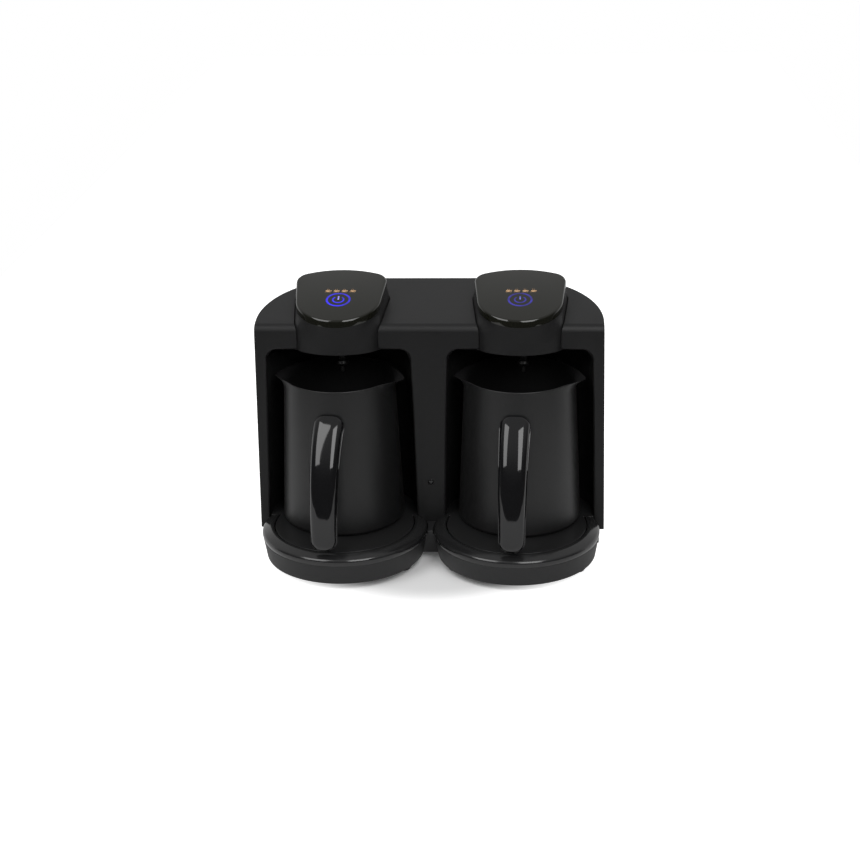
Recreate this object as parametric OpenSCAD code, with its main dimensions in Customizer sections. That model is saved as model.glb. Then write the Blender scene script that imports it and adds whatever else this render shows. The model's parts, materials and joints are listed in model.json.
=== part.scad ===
// Twin electric coffee maker: one wide tower with two bays, a touch-panel head over each bay,
// a round heated base in front of each bay and two loose pots with hanging handles.
// Millimetres, +Z up, the front faces -Y. The origin is under the middle of the whole object.

/* [Housing] */
// Width of the housing at its top
housing_w = 280; // [272:2:340]
// Depth of the housing from its front face to its back
housing_d = 86; // [84:1:110]
// Height of the top face's front edge over the bay ceiling
top_rise = 19.8; // [16:0.1:30]
// Backward rise of the top face, degrees
top_tilt = 10; // [0:1:14]
// How far the housing's lower edge reaches below the upper edge of the base moulding
housing_lap = 4.3; // [2:0.1:7]
// Outward draft of the side and back walls, from top to lower edge
draft = 3; // [0:0.5:4]
// Radius of the two rear corners
corner_r = 75; // [40:1:76]
// Rounding of the front edge of the top face
top_fillet = 7; // [4:0.5:10]
// Wall of the mouldings
wall = 2.5; // [2:0.1:3]

/* [Bays] */
// Distance from the side of the housing's top to the widest place of a bay
side_w = 5.6; // [4:0.1:8]
// Distance of the pot axis behind the front face
pot_setback = 5.2; // [4:0.1:8]
// Gap between a pot's foot and the bay wall
bay_gap = 11.1; // [8:0.1:14]
// How much narrower a bay is at its ceiling, on the radius
bay_taper = 3.3; // [1:0.1:4]
// Room between a pot's rim and the bay ceiling
bay_room = 21.7; // [16:0.1:30]
// Rounding between the ceiling and the wall of a bay
bay_corner = 9; // [5:0.5:12]

/* [Base] */
// How far a disc's axis lies nearer to the middle than the pot's axis
disc_shift = 2.2; // [0:0.1:3]
// Distance of the disc axis in front of the front face
disc_lead = 15.3; // [12:0.1:18]
// How much wider a disc is than the pot's foot, on the radius
disc_margin = 17.9; // [14:0.1:19]
// How much narrower the disc is at its lower edge, on the radius
disc_taper = 3.5; // [1:0.1:6]
// Height of the lower edge over the table
foot_h = 5; // [4:0.5:7]
// Height of the matt base moulding
base_h = 16.6; // [14:0.1:22]
// Height of the upright band of the gloss ring
band_h = 4.8; // [3:0.1:7]
// Width of the ring's bevel, from its outer edge in to its crest
bevel_w = 8.2; // [6:0.1:9]
// Height of the ring's crest over its outer edge
bevel_h = 3.5; // [2:0.1:5]
// Depth of the floor below the ring's crest
deck_drop = 0.5; // [0.2:0.1:1.5]
// Thickness of the gloss ring and of the floor
deck_t = 2.4; // [2:0.1:3]
// Height of the hot plate's top over the floor
plate_rise = 0.8; // [0.6:0.1:1.5]
// How far the hot plate ends inside the pot's foot
plate_inset = 4.3; // [3:0.1:10]
// Distance of the web's front in front of the front face
web_lead = 20; // [16:0.5:24]
// Height of the web's top over the upper edge of the base moulding
web_rise = 2.9; // [1:0.1:4]
// Radius of a foot
foot_r = 7; // [5:0.5:8]
// Turn of a disc's two feet towards its front, degrees
foot_turn = 26; // [20:1:40]

/* [Heads] */
// Distance of the head's front in front of the front face
head_lead = 13.5; // [8:0.5:18]
// Radius of the head's curved front
head_front_r = 48; // [44:1:60]
// Half width of the head at its front corners
head_front_w = 34.5; // [32:0.5:36]
// Radius of the head's front corners
head_nose_r = 16; // [12:1:20]
// Half width of the head at its rear corners
head_back_w = 38.6; // [36:0.1:42]
// Distance of the head's back behind the front face
head_back = 64; // [60:1:66]
// Radius of the head's curved back
head_back_r = 78; // [70:1:100]
// Radius of the head's rear corners
head_corner_r = 8; // [5:1:12]
// Height of the lid's front edge over the front edge of the top face
lid_rise = 9; // [6:1:18]
// Backward rise of the lid, degrees
lid_tilt = 15; // [8:1:18]
// Thickness of the gloss lid
lid_t = 5.5; // [4:0.5:7]
// Bevel on the lid's upper edge
lid_bevel = 1.8; // [0.6:0.1:2.5]
// Outer radius of the touch key's light ring
key_r = 10; // [8:0.5:12]
// Distance of the touch key up the lid from its front edge
key_up = 31.7; // [22:0.1:36]

/* [Probe] */
// Distance of the sensor to the right of the pot's axis
probe_shift = 3; // [0:0.5:4]
// Radius of the sensor stem
stem_r = 3.2; // [2.5:0.1:4]
// Radius of the steel sensor tip
tip_r = 1.6; // [1:0.1:2]
// Height of the sensor tip's lower end over the pot's rim, which passes under it
tip_gap = 1.5; // [1:0.1:6]

/* [Pots] */
// Height of a pot
pot_h = 122.3; // [100:0.1:150]
// Radius of a pot at its foot
pot_foot_r = 50.3; // [42:0.1:51]
// How much narrower a pot is at its rim, on the radius
pot_taper = 5.5; // [2:0.1:8]
// Wall of a pot
pot_wall = 1.2; // [0.8:0.1:1.6]
// Rounding of a pot's lower edge
pot_corner = 3; // [2:0.5:4]
// How far a spout's tip stands out from the rim
spout_out = 8.8; // [6:0.1:9.5]
// Depth of a spout down the wall
spout_drop = 10; // [7:1:20]
// Turn of the left pot, degrees, handle towards the left
turn_left = 5.5; // [0:0.5:6]
// Turn of the right pot, degrees, handle towards the left
turn_right = 4; // [0:0.5:6]

/* [Handle] */
// Width of a handle at its top
handle_top_w = 24.5; // [20:0.5:26]
// Width of a handle at its lower end
handle_foot_w = 19.5; // [16:0.5:22]
// Distance from the pot's foot to the seam of the handle's lower end
handle_out = 31.8; // [26:0.1:34]
// Height of the handle's lower end over the pot's foot
handle_foot_z = 2; // [2:0.5:12]
// Depth of the handle's upper end below the rim
handle_drop = 20.9; // [18:0.1:36]
// Thickness of the gloss front half of the handle
grip_t = 6.5; // [5:0.5:8]
// Thickness of the rear half of the handle
liner_t = 3.5; // [2.5:0.5:5]
// How far the rear half stands out round the front half
handle_lip = 0.8; // [0.4:0.1:1.2]

/* [Hidden] */
$fn = 96;
LEFT = -1;
RIGHT = 1;
fit = 0.3;          // gap between mouldings
seat = 0.05;        // gap between a part and what it is pressed into
big = 600;          // larger than the object
eps = 0.01;

// What follows from the values above.
ring_foot = foot_h + base_h;
ring_edge = ring_foot + band_h;
crest_z = ring_edge + bevel_h;
deck_z = crest_z - deck_drop;
plate_z = deck_z + plate_rise;
bay_top = plate_z + pot_h + bay_room;
housing_top = bay_top + top_rise;
housing_foot = ring_foot - housing_lap;
lap_z = housing_foot - fit;
lid_front_z = housing_top + lid_rise;
tip_z = plate_z + pot_h + tip_gap;
disc_r = pot_foot_r + disc_margin;
crest_r = disc_r - bevel_w;
disc_foot_r = disc_r - disc_taper;
plate_r = pot_foot_r - plate_inset;
pot_rim_r = pot_foot_r - pot_taper;
spout_reach = pot_rim_r + spout_out;
bay_r_foot = pot_foot_r + bay_gap;
bay_r_top = bay_r_foot - bay_taper;
station_x = housing_w/2 - side_w - bay_r_foot;
disc_x = station_x - disc_shift;
handle_reach = pot_foot_r + handle_out;
handle_top_z = pot_h - handle_drop;
// The web reaches a little into both discs.
foot_side = (disc_foot_r - wall - fit - foot_r - 0.5)*cos(foot_turn);
foot_lead = (disc_foot_r - wall - fit - foot_r - 0.5)*sin(foot_turn);
web_w = disc_x - sqrt(pow(disc_foot_r, 2) - pow(disc_lead, 2)) + 1;

// The handle's seam runs along this curve: distance from the pot axis, height over the pot's foot.
handle_curve = [[pot_rim_r - 3.8, handle_top_z - 1.5], [pot_rim_r + 13.2, handle_top_z - 13],
                [handle_reach - 1.5, handle_top_z - 33], [handle_reach, handle_foot_z]];
handle_sides = 18;

function bezier(p, t) = p[0]*pow(1 - t, 3) + 3*p[1]*t*pow(1 - t, 2) + 3*p[2]*t*t*(1 - t) + p[3]*t*t*t;
function slope(p, t) = 3*(p[1] - p[0])*pow(1 - t, 2) + 6*(p[2] - p[1])*t*(1 - t) + 3*(p[3] - p[2])*t*t;
function outward(t) = let (d = slope(handle_curve, t)) [-d[1], d[0]]/norm(d);
// The lower end closes in a half round over the last part of the curve.
handle_end = 0.95;
handle_at = concat([for (k = [0:20]) handle_end*k/20], [for (k = [1:7]) handle_end + (1 - handle_end)*sin(90*k/7)]);
function end_round(t) = t < handle_end ? 1 : sqrt(max(0.03, 1 - pow((t - handle_end)/(1 - handle_end), 2)));
// The upper end draws in towards the pot.
handle_neck = 0.12;
function neck_round(t) = t > handle_neck ? 1 : 1 - 0.38*pow(1 - t/handle_neck, 2);
// Share of the curve that the front half covers, so that the rear half's lip runs round its end.
front_share = 1 - handle_lip/(3*(handle_top_z - 33 - handle_foot_z));
function grip_half_w(t, thick) = let (lip = thick < 0 ? handle_lip : 0)
    ((handle_top_w + (handle_foot_w - handle_top_w)*t)/2 + lip)*end_round(t)*neck_round(t);
function power_sign(v, n) = sign(v)*pow(abs(v), n);
// One section of the handle: across and outward, thick is positive for the front half.
function grip_section(t, thick) =
    [for (i = [0:handle_sides - 1]) let (a = 180*i/(handle_sides - 1))
        [grip_half_w(t, thick)*power_sign(cos(a), 0.6), thick*end_round(t)*pow(max(0, sin(a)), 0.7)]];
function grip_ring(t, thick) = let (u = thick < 0 ? t : t*front_share, c = bezier(handle_curve, u), n = outward(u))
    [for (p = grip_section(t, thick)) let (out = p[1] + (thick < 0 ? 0 : seat))
        [p[0], -(c[0] + n[0]*out), c[1] + n[1]*out]];

turned = [for (a = [turn_left, turn_right]) max([for (t = handle_at, p = grip_ring(t, grip_t))
    p[0]*sin(a) - p[1]*cos(a)])];
front_reach = max(max(turned) - pot_setback, disc_lead + disc_r);
inlet_z = 42;
inlet_out = 6;
draft_h = housing_top - housing_foot;
// How far the back wall has moved outward at the height z.
function back_draft(z) = draft*(housing_top - z)/draft_h;
// Everything is placed from the front face of the housing, so that the whole object is centred.
front_y = (front_reach - housing_d - back_draft(inlet_z) - inlet_out)/2;
pot_y = front_y + pot_setback;
disc_y = front_y - disc_lead;
back_y = front_y + housing_d;
tower_top = housing_top + housing_d*tan(top_tilt) + 5;
bay_draft = (bay_r_foot - bay_r_top)/(bay_top - deck_z);
opening_w = 60;
recess_z = 59.5;
recess_r = 2.6;
cover_foot = 32;
cover_top = 186;
board_y = back_y - 12;
board_t = 1.6;
inlet_x = 46;
inlet_r = 3.5;
key_t = 0.4;
plate_t = 4.2;
shell_t = 2.2;
tuck = 0.02;        // the flat walls lie this much inside the rounded corners they run into
head_split = 46;    // distance behind the front face where the head's lower part ends
under_t = 2.5;

// ---------- housing ----------

// Plan of the housing, walls moved outward by grow, as a solid that follows the draft.
module tower_form(grow, low, high) {
    r_at = corner_r + grow;
    slope_per_mm = draft/draft_h;
    r_low = r_at + (housing_top - low)*slope_per_mm;
    r_high = r_at + (housing_top - high)*slope_per_mm;
    mid = housing_w/2 - corner_r;
    side = mid - tuck;
    corner_y = back_y - corner_r;
    for (s = [LEFT, RIGHT])
        translate([s*mid, corner_y, low]) cylinder(h = high - low, r1 = r_low, r2 = r_high);
    translate([0, corner_y, 0]) rotate([90, 0, 0])
        linear_extrude(corner_y - front_y + grow)
            polygon([[-side - r_low, low], [side + r_low, low], [side + r_high, high], [-side - r_high, high]]);
    translate([-mid, 0, 0]) rotate([90, 0, 90])
        linear_extrude(2*mid)
            polygon([[corner_y, low], [corner_y + r_low - tuck, low], [corner_y + r_high - tuck, high],
                     [corner_y, high]]);
}

// Side view of the housing: upright front, rounded top edge, top rising to the back.
module tower_side(inset) {
    r = top_fillet - inset;
    mid = [front_y + top_fillet, housing_top + top_fillet*tan(top_tilt) - top_fillet/cos(top_tilt)];
    front_pt = mid + [-r, 0];
    top_pt = mid + r*[-sin(top_tilt), cos(top_tilt)];
    edge_pt = [front_pt[0], top_pt[1] - (top_pt[0] - front_pt[0])*tan(top_tilt)];
    far_pt = top_pt + big*[cos(top_tilt), sin(top_tilt)];
    translate([-big/2, 0, 0]) rotate([90, 0, 90]) linear_extrude(big) difference() {
        polygon([[front_pt[0], 0], edge_pt, far_pt, [far_pt[0], 0]]);
        difference() {
            polygon([mid, front_pt, front_pt - [r, 0], edge_pt + r*[-1, 1], top_pt + r*[-sin(top_tilt), cos(top_tilt)],
                     top_pt]);
            translate(mid) circle(r = r);
        }
    }
}

module tower_solid(inset, low) {
    intersection() {
        tower_form(-inset, low, tower_top);
        tower_side(inset);
    }
}

// The space of one bay, walls moved outward by grow.
module bay_form(s, grow, low) {
    r_low = bay_r_foot + grow + (deck_z - low)*bay_draft;
    r_top = bay_r_top + grow;
    top = bay_top + grow;
    c = bay_corner + grow;
    translate([s*station_x, pot_y, 0]) rotate_extrude() {
        polygon([[0, low], [r_low, low], [r_top + c*bay_draft, top - c], [r_top - c, top], [0, top]]);
        intersection() {
            translate([r_top - c, top - c]) circle(r = c + c*bay_draft/2);
            translate([0, low]) square([r_top + c, top - low]);
        }
    }
}

// Plan outline of a head from the front face, moved outward by grow: four arcs on each side, for
// the curved front, the front corner, the rear corner and the curved back, with a flaring side
// between the corners. It runs counter-clockwise from the front, with n steps to each arc.
function head_outline(grow, n = 6) = let (
    c_front = [0, head_front_r - head_lead],
    c_back = [0, head_back - head_back_r],
    x_nose = head_front_w - head_nose_r,
    x_corner = head_back_w - head_corner_r,
    c_nose = [x_nose, c_front[1] - sqrt(pow(head_front_r - head_nose_r, 2) - pow(x_nose, 2))],
    c_corner = [x_corner, c_back[1] + sqrt(pow(head_back_r - head_corner_r, 2) - pow(x_corner, 2))],
    d = c_corner - c_nose,
    a_nose = atan2(c_nose[1] - c_front[1], x_nose),
    a_side = atan2(d[1], d[0]) - acos((head_nose_r - head_corner_r)/norm(d)),
    a_corner = atan2(c_corner[1] - c_back[1], x_corner),
    arcs = [[c_front, head_front_r, -90, a_nose], [c_nose, head_nose_r, a_nose, a_side],
            [c_corner, head_corner_r, a_side, a_corner], [c_back, head_back_r, a_corner, 90]],
    half = [for (k = [0:3], i = [k%2:n]) let (g = arcs[k], t = g[2] + (g[3] - g[2])*i/n)
        g[0] + (g[1] + grow)*[cos(t), sin(t)]])
    concat(half, [for (i = [len(half) - 2:-1:1]) [-half[i][0], half[i][1]]]);

module head_prism(s, grow, low, high) {
    translate([s*station_x, front_y, low]) linear_extrude(high - low) polygon(head_outline(grow));
}

// Everything under the plane that lies depth below the lid's upper face.
module under_lid(depth) {
    translate([0, front_y - head_lead, lid_front_z]) rotate([lid_tilt, 0, 0])
        translate([-big/2, -big/4, -depth - big]) cube([big, big, big]);
}

module rear_opening(gap) {
    translate([-opening_w + gap, back_y - corner_r/2, cover_foot + gap])
        cube([2*(opening_w - gap), corner_r, cover_top - cover_foot - 2*gap]);
}

// Outer moulding: front face with two bay openings, sides, top with two head openings.
module housing() color([0.13, 0.13, 0.13]) {
    difference() {
        housing_shell();
        for (s = [LEFT, RIGHT]) bay_form(s, 0, 0);
        for (s = [LEFT, RIGHT]) head_prism(s, fit, bay_top - 1, tower_top + 20);
        rear_opening(0);
        translate([0, front_y - 1, recess_z]) rotate([-90, 0, 0]) cylinder(h = 2, r = recess_r);
    }
    // bosses behind the front face that the bay liners are screwed to
    for (z = [60, 140])
        translate([0, front_y + wall - eps, z]) rotate([-90, 0, 0]) difference() {
            cylinder(h = 12, r = 3.2);
            translate([0, 0, 2]) cylinder(h = 12, r = 1.3);
        }
}

module housing_shell() {
    difference() {
        tower_solid(0, housing_foot);
        tower_solid(wall, housing_foot - 1);
    }
}

// Inner wall and ceiling of a bay, a separate moulding behind the front face.
module bay_liner(s) color([0.1, 0.1, 0.1]) difference() {
    intersection() {
        bay_form(s, shell_t, ring_foot + fit);
        translate([-big/2, front_y + wall, 0]) cube([big, big, big]);
    }
    bay_form(s, 0, 0);
    intersection() {
        head_prism(s, fit, bay_top - 1, bay_top + shell_t + 1);
        translate([-big/2, front_y - 50, 0]) cube([big, 50 + head_split + fit, big]);
    }
}

// Screwed panel in the back wall, with vent slots and the pillars of the power board.
module rear_cover() color([0.12, 0.12, 0.12]) {
    difference() {
        intersection() {
            housing_shell();
            rear_opening(fit);
        }
        for (i = [-4:4], row = [0, 1])
            translate([i*10 - 1.25, back_y - 5, 120 + row*26]) cube([2.5, 20, 20]);
        translate([inlet_x, back_y - 10, inlet_z]) rotate([-90, 0, 0]) cylinder(h = 20, r = inlet_r + 3 + seat);
    }
    for (x = [-42, 42], z = [66, 106])
        translate([x, board_y + board_t, z]) rotate([-90, 0, 0])
            cylinder(h = back_y - board_y - board_t + back_draft(z) - wall/2, r = 2.8);
}

// Rubber gland with the bore that a mains lead comes through.
module cord_inlet() color([0.08, 0.08, 0.08])
    translate([inlet_x, back_y + back_draft(inlet_z), inlet_z]) rotate([-90, 0, 0]) rotate_extrude()
        polygon([[inlet_r, -wall - 3], [inlet_r + 5.5, -wall - 3], [inlet_r + 5.5, -wall - 0.2],
                 [inlet_r + 3, -wall - 0.2], [inlet_r + 3, 0.2], [inlet_r + 5, 0.2], [inlet_r + 5, 2.2],
                 [inlet_r + 2.5, inlet_out], [inlet_r, inlet_out]]);

// Mains board on the rear cover's pillars: board, transformer between the bays, two relays.
module power_board() color([0.1, 0.35, 0.18]) {
    translate([-50, board_y, 58]) cube([100, board_t, 56]);
    translate([-8, board_y - 22 + eps, 64]) cube([16, 22, 26]);
    for (x = [-34, 24])
        translate([x, board_y - 4 + eps, 66]) cube([10, 4, 20]);
}

// ---------- base ----------

module disc_solid(s, r_low, r_high, low, high) {
    translate([s*disc_x, disc_y, low]) cylinder(h = high - low, r1 = r_low, r2 = r_high);
}

function disc_r_at(z) = disc_foot_r + (disc_r - disc_foot_r)*(z - foot_h)/(ring_edge - foot_h);

module front_side(gap) {
    translate([-big/2, front_y - big - gap, 0]) cube([big, big, big]);
}

// Matt lower moulding: two discs, the web between them and the tray under the housing.
module base_tray() color([0.15, 0.15, 0.15]) difference() {
    union() {
        for (s = [LEFT, RIGHT]) {
            disc_solid(s, disc_foot_r, disc_r_at(lap_z), foot_h, lap_z);
            intersection() {
                disc_solid(s, disc_r_at(lap_z), disc_r_at(ring_foot), lap_z, ring_foot);
                front_side(fit);
            }
            translate([s*station_x, pot_y, lap_z - wall])
                cylinder(h = ring_foot - lap_z + wall, r = bay_r_foot - fit);
        }
        difference() {
            translate([-web_w, front_y - web_lead, foot_h])
                cube([2*web_w, web_lead - fit, ring_foot + web_rise - foot_h]);
            for (s = [LEFT, RIGHT]) disc_solid(s, disc_r + fit, disc_r + fit, ring_foot, ring_edge);
        }
        tower_tray(0, foot_h, lap_z);
    }
    for (s = [LEFT, RIGHT]) {
        disc_solid(s, disc_foot_r - wall, disc_foot_r - wall, foot_h - 1, lap_z - wall);
        translate([s*station_x, pot_y, foot_h]) cylinder(h = ring_foot, r = plate_r - 4);
    }
    tower_tray(wall, foot_h - 1, lap_z - wall);
}

// Tray outline under the housing, drawn in from the housing's lower edge.
module tower_tray(inset, low, high) {
    r = corner_r - 1 - inset;
    mid = housing_w/2 - corner_r;
    corner_y = back_y - corner_r;
    front = front_y + fit + inset;
    translate([0, 0, low]) linear_extrude(high - low) {
        intersection() {
            for (s = [LEFT, RIGHT])
                translate([s*mid, corner_y]) circle(r = r);
            translate([-big/2, front]) square([big, big]);
        }
        translate([-mid - r, front]) square([2*(mid + r), corner_y - front]);
        translate([-mid, corner_y - eps]) square([2*mid, r + eps]);
    }
}

// Flat cover that closes the base from below.
module bottom_cover() color([0.1, 0.1, 0.1]) difference() {
    union() {
        for (s = [LEFT, RIGHT])
            disc_solid(s, disc_foot_r - wall - fit, disc_foot_r - wall - fit, foot_h, foot_h + 2);
        tower_tray(wall + fit, foot_h, foot_h + 2);
    }
    for (s = [LEFT, RIGHT], i = [-3:3])
        translate([s*station_x + i*8 - 1.25, pot_y - 12, foot_h - 1]) cube([2.5, 24, 4]);
}

module foot(x, y) color([0.06, 0.06, 0.06])
    translate([x, y, 0]) {
        cylinder(h = 1.5, r1 = foot_r - 1, r2 = foot_r);
        translate([0, 0, 1.5]) cylinder(h = foot_h - 1.5, r = foot_r);
    }

// Polished ring on the visible front of a disc: upright band, bevel up to the crest.
module base_ring(s) color([0.05, 0.05, 0.05]) intersection() {
    translate([s*disc_x, disc_y, 0]) rotate_extrude()
        polygon([[disc_r_at(ring_foot), ring_foot], [disc_r, ring_edge - 0.8], [disc_r - 0.6, ring_edge + 0.2],
                 [crest_r, crest_z], [crest_r - 2, crest_z - 0.2],
                 [crest_r - 2.6, deck_z - deck_t], [crest_r - 0.4, deck_z - deck_t],
                 [disc_r - 3, ring_edge - deck_t], [disc_r - 3, ring_foot]]);
    front_side(fit);
}

// Floor around the hot plate, inside the ring and into the bay.
module base_deck(s) color([0.12, 0.12, 0.12]) difference() {
    union() {
        intersection() {
            disc_solid(s, crest_r - 3, crest_r - 3, ring_foot, deck_z);
            front_side(0);
        }
        translate([s*station_x, pot_y, ring_foot])
            intersection() {
                cylinder(h = deck_z - ring_foot, r = bay_r_foot - fit);
                translate([-big/2, front_y - pot_y - eps, 0]) cube([big, big, big]);
            }
    }
    translate([s*station_x, pot_y, 0]) {
        cylinder(h = deck_z + 1, r = plate_r + 1.6);
        translate([0, 0, ring_foot - 1]) cylinder(h = deck_z - deck_t - ring_foot + 1, r = plate_r + 6);
    }
}

// Cast aluminium plate with a flange below the floor.
module hot_plate(s) color([0.2, 0.2, 0.2])
    translate([s*station_x, pot_y, 0]) rotate_extrude()
        polygon([[0, plate_z - plate_t], [plate_r + 4, plate_z - plate_t], [plate_r + 4, plate_z - plate_t + 0.9],
                 [plate_r, plate_z - plate_t + 0.9], [plate_r, plate_z - 0.8], [plate_r - 0.8, plate_z], [0, plate_z]]);

// Silicone ring between the plate and the floor.
module plate_seal(s) color([0.3, 0.3, 0.3])
    translate([s*station_x, pot_y, 0]) rotate_extrude()
        polygon([[plate_r + seat, plate_z - plate_t + 0.9 + seat], [plate_r + 1.6 - seat, plate_z - plate_t + 0.9 + seat],
                 [plate_r + 1.6 - seat, deck_z], [plate_r + 0.6, deck_z + 0.4], [plate_r + seat, deck_z]]);

// Tubular heating element under the plate, an open ring with two terminals.
module heater(s) color([0.55, 0.55, 0.55])
    translate([s*station_x, pot_y, plate_z - plate_t - 3.2 - seat]) {
        rotate([0, 0, 110]) rotate_extrude(angle = 320) translate([30, 0]) circle(r = 3.2);
        for (a = [110, 70])
            rotate([0, 0, a]) translate([30, 0, -9]) cylinder(h = 9.2, r = 1.8);
    }

// Snap-disc thermostat in the middle of the plate's underside.
module thermostat(s) color([0.75, 0.75, 0.72])
    translate([s*station_x, pot_y, plate_z - plate_t - seat]) {
        translate([0, 0, -2]) cylinder(h = 2, r = 10);
        translate([0, 0, -9]) cylinder(h = 7 + eps, r = 8);
        for (x = [-4, 4])
            translate([x - 0.4, -3, -14]) cube([0.8, 6, 5 + eps]);
    }

// ---------- heads ----------

// Matt wall of a head: full height over the bay, a collar where it sits in the housing's top.
module head_shell(s) color([0.14, 0.14, 0.14]) difference() {
    intersection() {
        difference() {
            head_prism(s, 0, bay_top, tower_top + 20);
            head_prism(s, -shell_t, bay_top - 1, tower_top + 21);
        }
        under_lid(lid_t + eps);
    }
    difference() {
        translate([-big/2, front_y + head_split, 0]) cube([big, big, big]);
        over_top();
    }
}

// Everything above a plane a little under the housing's top face.
module over_top() {
    translate([0, front_y, housing_top - wall - 3]) rotate([top_tilt, 0, 0])
        translate([-big/2, -big/4, 0]) cube([big, big, big]);
}

// Height of a plane that lies depth below the lid's upper face, y behind the front face.
function lid_z(y, depth) = lid_front_z + (y + head_lead)*tan(lid_tilt) - depth/cos(lid_tilt);

// Gloss touch lid, bevelled all round, hollow below for the touch board.
module head_lid(s) color([0.04, 0.04, 0.04]) difference() {
    translate([s*station_x, front_y, 0]) lid_block();
    intersection() {
        head_prism(s, -shell_t - 1, 0, big);
        under_lid(2.5);
    }
    lid_place(s) translate([0, key_up, -key_t]) difference() {
        cylinder(h = 2, r = key_r);
        translate([0, 0, -1]) cylinder(h = 4, r = key_r - 1.8);
    }
}

module lid_block() {
    rings = [for (g = [[0, lid_t], [0, lid_bevel], [-lid_bevel, 0]])
        [for (p = head_outline(g[0])) [p[0], p[1], lid_z(p[1], g[1])]]];
    n = len(rings[0]);
    sides = [for (k = [0, 1], i = [0:n - 1]) let (a = k*n + i, b = k*n + (i + 1)%n) [a, a + n, b + n, b]];
    polyhedron(points = concat(rings[0], rings[1], rings[2]),
               faces = concat(sides, [[for (i = [0:n - 1]) i]], [[for (i = [n - 1:-1:0]) 2*n + i]]));
}

module lid_place(s) {
    translate([s*station_x, front_y - head_lead, lid_front_z]) rotate([lid_tilt, 0, 0]) children();
}

// Light guide around the touch key, flush with the lid.
module light_ring(s) color([0.2, 0.25, 1])
    lid_place(s) translate([0, key_up, -key_t]) difference() {
        cylinder(h = key_t, r = key_r - seat);
        translate([0, 0, -1]) cylinder(h = 3, r = key_r - 1.8 + seat);
    }

// Touch board under the lid.
module touch_board(s) color([0.1, 0.35, 0.18])
    lid_place(s) translate([-17, 10, -2.6 - board_t]) cube([34, 48, board_t]);

// Plate that closes a head from below and carries the sensor.
module head_underside(s) color([0.1, 0.1, 0.1]) difference() {
    intersection() {
        head_prism(s, -shell_t - seat, bay_top, bay_top + under_t);
        translate([-big/2, front_y - 50, 0]) cube([big, 50 + head_split, big]);
    }
    translate([s*station_x + probe_shift, pot_y, 0]) cylinder(h = big, r = stem_r + seat);
}

// Sensor: stem through the underside, steel tip over the middle of the pot.
module probe(s) color([0.7, 0.7, 0.7]) translate([s*station_x + probe_shift, pot_y, 0]) {
    translate([0, 0, bay_top + under_t + seat]) cylinder(h = 2, r = stem_r + 2);
    translate([0, 0, tip_z + 8]) cylinder(h = bay_top + under_t - tip_z - 7.5, r = stem_r);
    translate([0, 0, tip_z + tip_r]) cylinder(h = 8, r = tip_r);
    translate([0, 0, tip_z + tip_r]) sphere(r = tip_r);
}

// Collar clipped on the lower end of the stem.
module probe_collar(s) color([0.16, 0.16, 0.16])
    translate([s*station_x + probe_shift, pot_y, tip_z + 6.5]) rotate_extrude()
        polygon([[tip_r + seat, 0], [4, 0], [5.2, 1], [5.2, 2.2], [4.4, 4], [stem_r + seat, 4],
                 [stem_r + seat, 1.5 - seat], [tip_r + seat, 1.5 - seat]]);

// ---------- pots ----------

// Places a pot's own shapes: standing on the hot plate, handle to the front, turned a little.
module pot_place(s) {
    translate([s*station_x, pot_y, plate_z]) rotate([0, 0, s == LEFT ? -turn_left : -turn_right]) children();
}

function pot_r(z) = pot_foot_r + (pot_rim_r - pot_foot_r)*z/pot_h;

// Half section of the pot's outside, moved inward by inset and closed at the height low.
module pot_half(inset, low, high) {
    c = pot_corner - min(inset, pot_corner - 1);
    lean = atan((pot_foot_r - pot_rim_r)/pot_h);
    cx = pot_r(low + c) - inset - c/cos(lean);
    polygon([[0, low], [cx, low], [cx + c*cos(lean), low + c + c*sin(lean)], [pot_r(high) - inset, high], [0, high]]);
    translate([cx, low + c]) circle(r = c);
}

// A pinched spout on one side: it swells out of the wall and ends in a tip at the rim.
module spout(side, inset) {
    tip = spout_reach - inset*1.6;
    a = 40;
    hull() {
        translate([side*(tip - 1), 0, pot_h - 2 - 4*inset/pot_wall]) cylinder(h = 2 + 6*inset/pot_wall, r = 1, $fn = 16);
        translate([side*(pot_r(pot_h - spout_drop) - inset - 2), 0, pot_h - spout_drop]) sphere(r = 1.6, $fn = 16);
        for (t = [-a, a])
            rotate([0, 0, side > 0 ? t : 180 + t])
                translate([pot_rim_r - inset - 1.3, 0, pot_h - 1]) cylinder(h = 1 + 2*inset/pot_wall, r = 1, $fn = 16);
    }
}

// Drawn vessel with a recess for the base disc and two spouts.
module pot_vessel(s) color([0.1, 0.1, 0.1]) pot_place(s) difference() {
    union() {
        rotate_extrude() intersection() {
            pot_half(0, 0, pot_h);
            square([big, pot_h]);
        }
        for (side = [LEFT, RIGHT]) spout(side, 0);
    }
    rotate_extrude() intersection() {
        pot_half(pot_wall, pot_wall + 2, pot_h + 5);
        square([big, pot_h + 5]);
    }
    for (side = [LEFT, RIGHT]) spout(side, pot_wall);
    translate([0, 0, -1]) cylinder(h = 3, r = pot_foot_r - 4.5);
}

// Flat aluminium disc bonded under the vessel.
module pot_base(s) color([0.6, 0.6, 0.6]) pot_place(s)
    cylinder(h = 2 - seat, r = pot_foot_r - 4.5 - seat);

module handle_sweep(thick) {
    rings = [for (t = handle_at) grip_ring(t, thick)];
    n = handle_sides;
    last = len(rings) - 1;
    pts = [for (r = rings, p = r) p];
    walls = [for (k = [0:last - 1], i = [0:n - 1]) let (a = k*n + i, b = k*n + (i + 1)%n)
        [a, b, b + n, a + n]];
    faces = concat(walls, [[for (i = [n - 1:-1:0]) i]], [[for (i = [0:n - 1]) last*n + i]]);
    polyhedron(points = pts, faces = thick > 0 ? faces : [for (f = faces) [for (i = [len(f) - 1:-1:0]) f[i]]]);
}

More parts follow.
